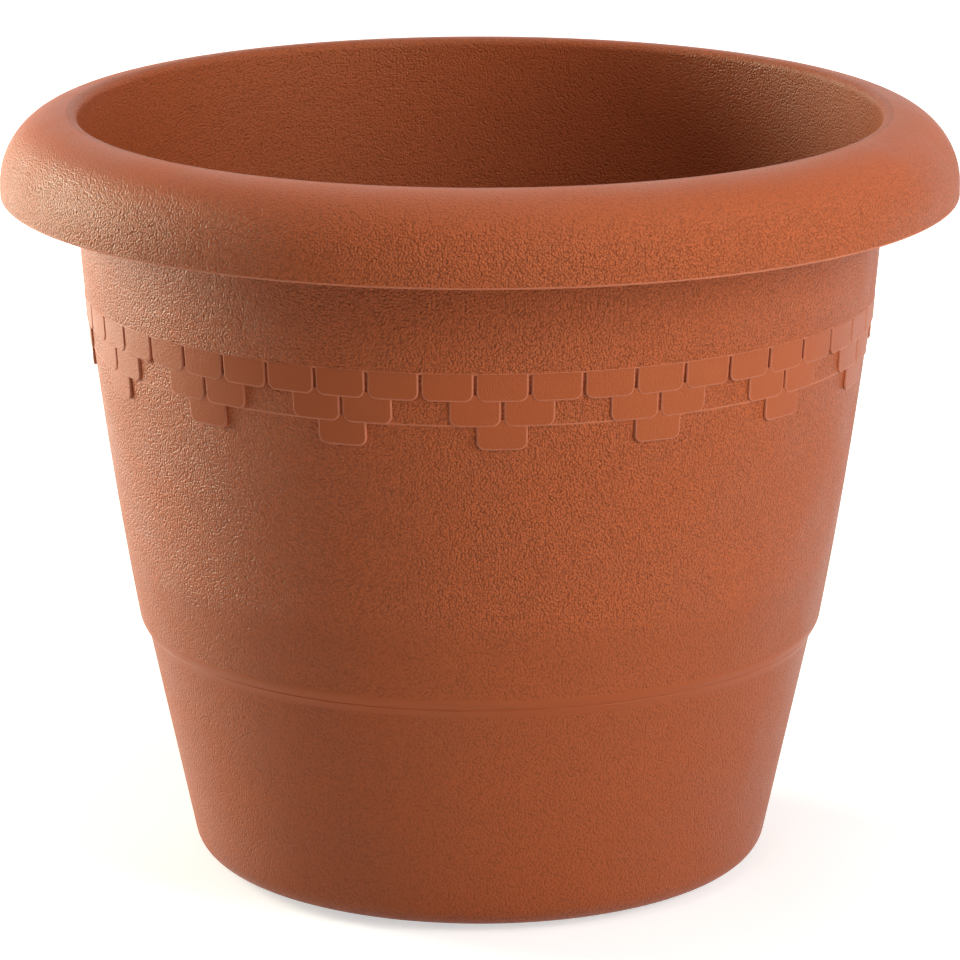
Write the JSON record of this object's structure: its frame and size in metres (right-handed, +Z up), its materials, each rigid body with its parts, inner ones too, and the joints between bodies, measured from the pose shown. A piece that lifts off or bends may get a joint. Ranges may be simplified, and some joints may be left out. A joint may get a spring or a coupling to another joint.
{
  "type": "flower pot",
  "caption": "Round tapered plastic floor planter with a wide rolled rim, a relief band of shingle tiles, a loose slotted reservoir grid with a wick cup, and push-in drain plugs.",
  "frame": {"origin": "centre of the standing plane under the feet", "axes": "+Z up along the pot's axis, -Y towards the front, where one group of tiles is centred, +X to the right seen from the front"},
  "size_m": [0.4, 0.4, 0.322],
  "materials": {
    "pot": "moulded grain, satin, tiles and rim smoother",
    "grid": "satin",
    "plug": "satin"
  },
  "bodies": {
    "pot": {"pot_body": "pot"},
    "grid": {"reservoir_grid": "grid"},
    "plug_1": {"drain_plug_1": "plug"},
    "plug_2": {"drain_plug_2": "plug"},
    "plug_3": {"drain_plug_3": "plug"},
    "plug_4": {"drain_plug_4": "plug"}
  },
  "joints": [
    {"name": "grid_lift", "type": "slide", "parent": "pot", "child": "grid", "axis": [0, 0, 1], "range_m": [0, 0.32]},
    {"name": "plug_1_pull", "type": "slide", "parent": "pot", "child": "plug_1", "axis": [0, 0, 1], "range_m": [0, 0.02]},
    {"name": "plug_2_pull", "type": "slide", "parent": "pot", "child": "plug_2", "axis": [0, 0, 1], "range_m": [0, 0.02]},
    {"name": "plug_3_pull", "type": "slide", "parent": "pot", "child": "plug_3", "axis": [0, 0, 1], "range_m": [0, 0.02]},
    {"name": "plug_4_pull", "type": "slide", "parent": "pot", "child": "plug_4", "axis": [0, 0, 1], "range_m": [0, 0.02]}
  ]
}
